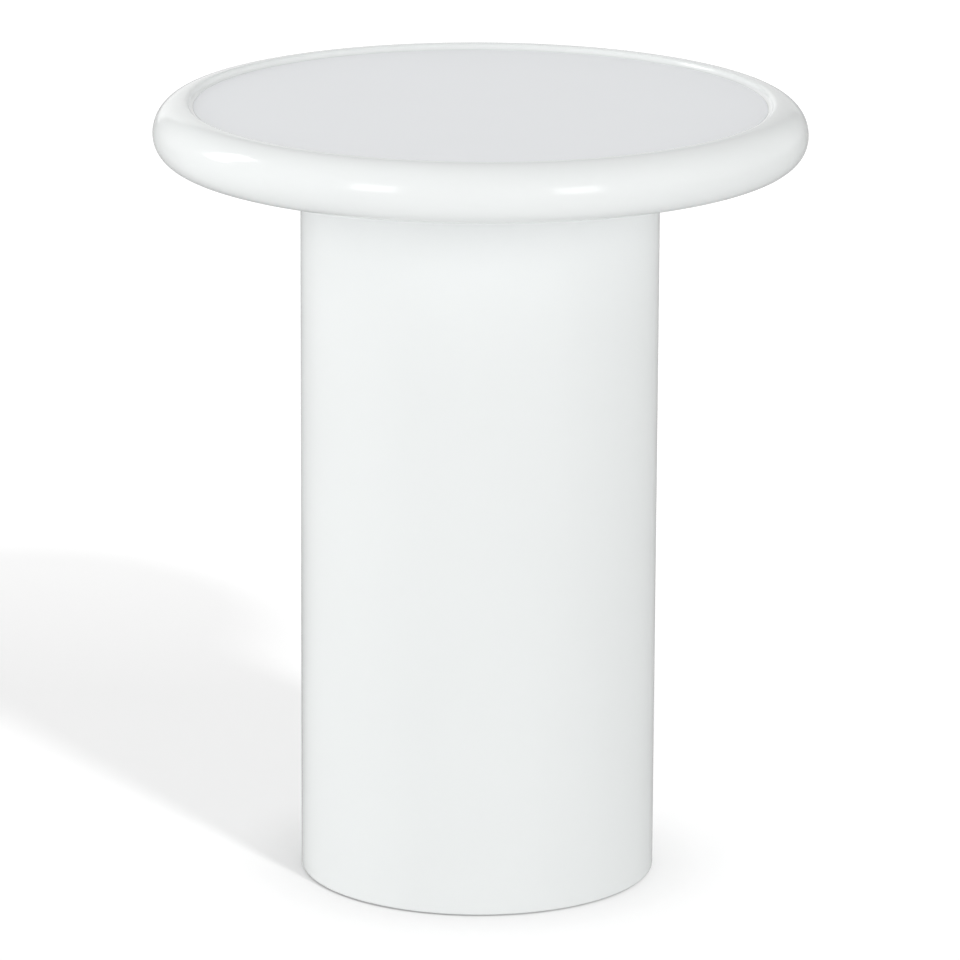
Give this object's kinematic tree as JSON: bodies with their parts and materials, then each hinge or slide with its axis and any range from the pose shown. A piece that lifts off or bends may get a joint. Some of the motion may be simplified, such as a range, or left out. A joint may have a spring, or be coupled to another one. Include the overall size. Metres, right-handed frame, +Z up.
{
  "type": "drum side table",
  "caption": "Round side table: a shallow tray top in a thick rolled rim, on a plain drum column that stands on levelling glides.",
  "frame": {"origin": "on the drum's axis at floor level, the undersides of the glide pads", "axes": "+Z up along the drum's axis, -Y towards the front, +X to the right seen from the front"},
  "size_m": [0.46, 0.46, 0.56],
  "materials": {
    "gloss_lacquer": "white lacquer on fibreboard and bent plywood, rubbed to a gloss",
    "satin_lacquer": "white lacquer on fibreboard, with a softer sheen",
    "fibreboard": "bare medium-density fibreboard",
    "softwood": "planed softwood, bare",
    "beech": "fluted beech dowel, bare",
    "black_board": "fibreboard painted matt black",
    "zinc_plate": "bright zinc-plated steel",
    "brass": "turned brass",
    "cast_iron": "as-cast iron, blackened",
    "nylon": "moulded black nylon"
  },
  "bodies": {
    "table": {"rim_ring": "gloss_lacquer", "drum_shell": "gloss_lacquer", "top_panel": "satin_lacquer", "underside_board": "satin_lacquer", "top_core": "fibreboard", "upper_former": "fibreboard", "middle_former": "fibreboard", "lower_former": "fibreboard", "batten_front": "softwood", "batten_right": "softwood", "batten_rear": "softwood", "batten_left": "softwood", "locating_dowels": "beech", "base_plate": "black_board", "top_bolts": "zinc_plate", "top_washers": "zinc_plate", "upper_batten_screws": "zinc_plate", "lower_batten_screws": "zinc_plate", "base_plate_screws": "zinc_plate", "ballast_screws": "zinc_plate", "glide_nuts": "zinc_plate", "top_inserts": "brass", "ballast_disc": "cast_iron"},
    "rear_right_pad": {"rear_right_glide_pad": "nylon"},
    "rear_right_stud": {"rear_right_glide_stud": "zinc_plate"},
    "rear_left_pad": {"rear_left_glide_pad": "nylon"},
    "rear_left_stud": {"rear_left_glide_stud": "zinc_plate"},
    "front_left_pad": {"front_left_glide_pad": "nylon"},
    "front_left_stud": {"front_left_glide_stud": "zinc_plate"},
    "front_right_pad": {"front_right_glide_pad": "nylon"},
    "front_right_stud": {"front_right_glide_stud": "zinc_plate"}
  },
  "joints": [
    {"name": "rear_right_travel", "type": "slide", "parent": "table", "child": "rear_right_pad", "axis": [0, 0, -1], "range_m": [0, 0.01]},
    {"name": "rear_right_turn", "type": "hinge", "parent": "rear_right_pad", "child": "rear_right_stud", "pos_m": [0.06965, 0.06965, 0.025], "axis": [0, 0, -1], "range_deg": [0, 2880]},
    {"name": "rear_left_travel", "type": "slide", "parent": "table", "child": "rear_left_pad", "axis": [0, 0, -1], "range_m": [0, 0.01]},
    {"name": "rear_left_turn", "type": "hinge", "parent": "rear_left_pad", "child": "rear_left_stud", "pos_m": [-0.06965, 0.06965, 0.025], "axis": [0, 0, -1], "range_deg": [0, 2880]},
    {"name": "front_left_travel", "type": "slide", "parent": "table", "child": "front_left_pad", "axis": [0, 0, -1], "range_m": [0, 0.01]},
    {"name": "front_left_turn", "type": "hinge", "parent": "front_left_pad", "child": "front_left_stud", "pos_m": [-0.06965, -0.06965, 0.025], "axis": [0, 0, -1], "range_deg": [0, 2880]},
    {"name": "front_right_travel", "type": "slide", "parent": "table", "child": "front_right_pad", "axis": [0, 0, -1], "range_m": [0, 0.01]},
    {"name": "front_right_turn", "type": "hinge", "parent": "front_right_pad", "child": "front_right_stud", "pos_m": [0.06965, -0.06965, 0.025], "axis": [0, 0, -1], "range_deg": [0, 2880]}
  ],
  "couplings": [
    {"joint": "rear_right_turn", "follows": "rear_right_travel", "rad_per_m": 5026.5},
    {"joint": "rear_left_turn", "follows": "rear_left_travel", "rad_per_m": 5026.5},
    {"joint": "front_left_turn", "follows": "front_left_travel", "rad_per_m": 5026.5},
    {"joint": "front_right_turn", "follows": "front_right_travel", "rad_per_m": 5026.5}
  ]
}
